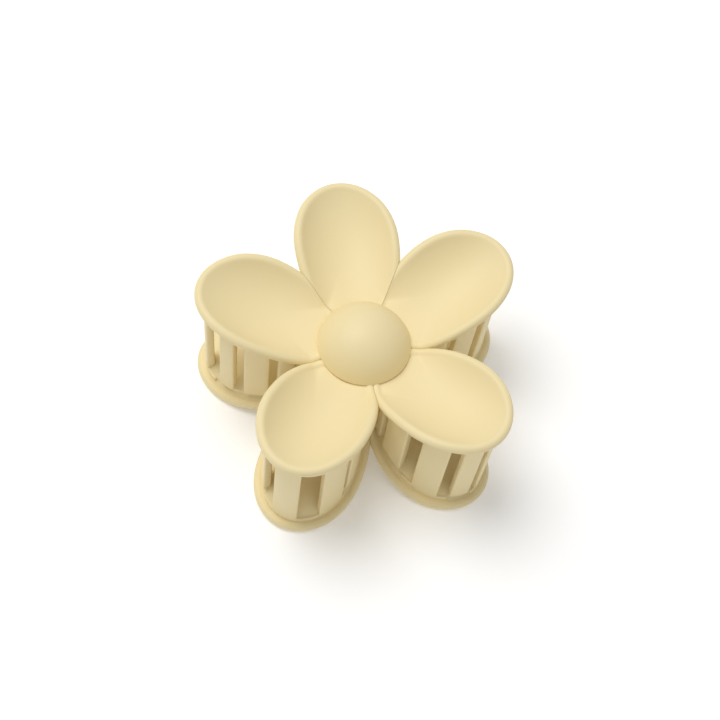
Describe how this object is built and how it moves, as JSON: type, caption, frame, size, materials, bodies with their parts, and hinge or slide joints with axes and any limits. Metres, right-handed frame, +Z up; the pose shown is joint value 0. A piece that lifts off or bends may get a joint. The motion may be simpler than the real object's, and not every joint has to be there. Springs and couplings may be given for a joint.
{
  "type": "flower hair clip",
  "caption": "Flower-shaped claw hair clip: two mirrored petalled halves with interlocking teeth, pinned at a hinge and held shut by a torsion spring.",
  "frame": {"origin": "On the rest plane, under the middle of the closed clip's outline.", "axes": "+Z up through the thickness, +Y towards the two thumb petals behind the hinge, +X to the right-hand side petals; the hinge runs along X."},
  "size_m": [0.0706, 0.07, 0.0326],
  "materials": {
    "cream_plastic": "matte butter-cream moulded plastic",
    "pin_steel": "plain steel",
    "spring_steel": "dark spring steel wire"
  },
  "bodies": {
    "lower_half": {"lower_flower": "cream_plastic", "lower_button": "cream_plastic", "lower_claw": "cream_plastic", "hinge_pin": "pin_steel", "torsion_spring": "spring_steel"},
    "upper_half": {"upper_flower": "cream_plastic", "upper_button": "cream_plastic", "upper_claw": "cream_plastic"}
  },
  "joints": [
    {"name": "jaw_hinge", "type": "hinge", "parent": "lower_half", "child": "upper_half", "pos_m": [0, 0.01007, 0.0163], "axis": [-1, 0, 0], "range_deg": [0, 45], "stiffness_Nm_per_rad": 0.1, "springref_deg": -57.3, "deforming": ["torsion_spring"]}
  ]
}
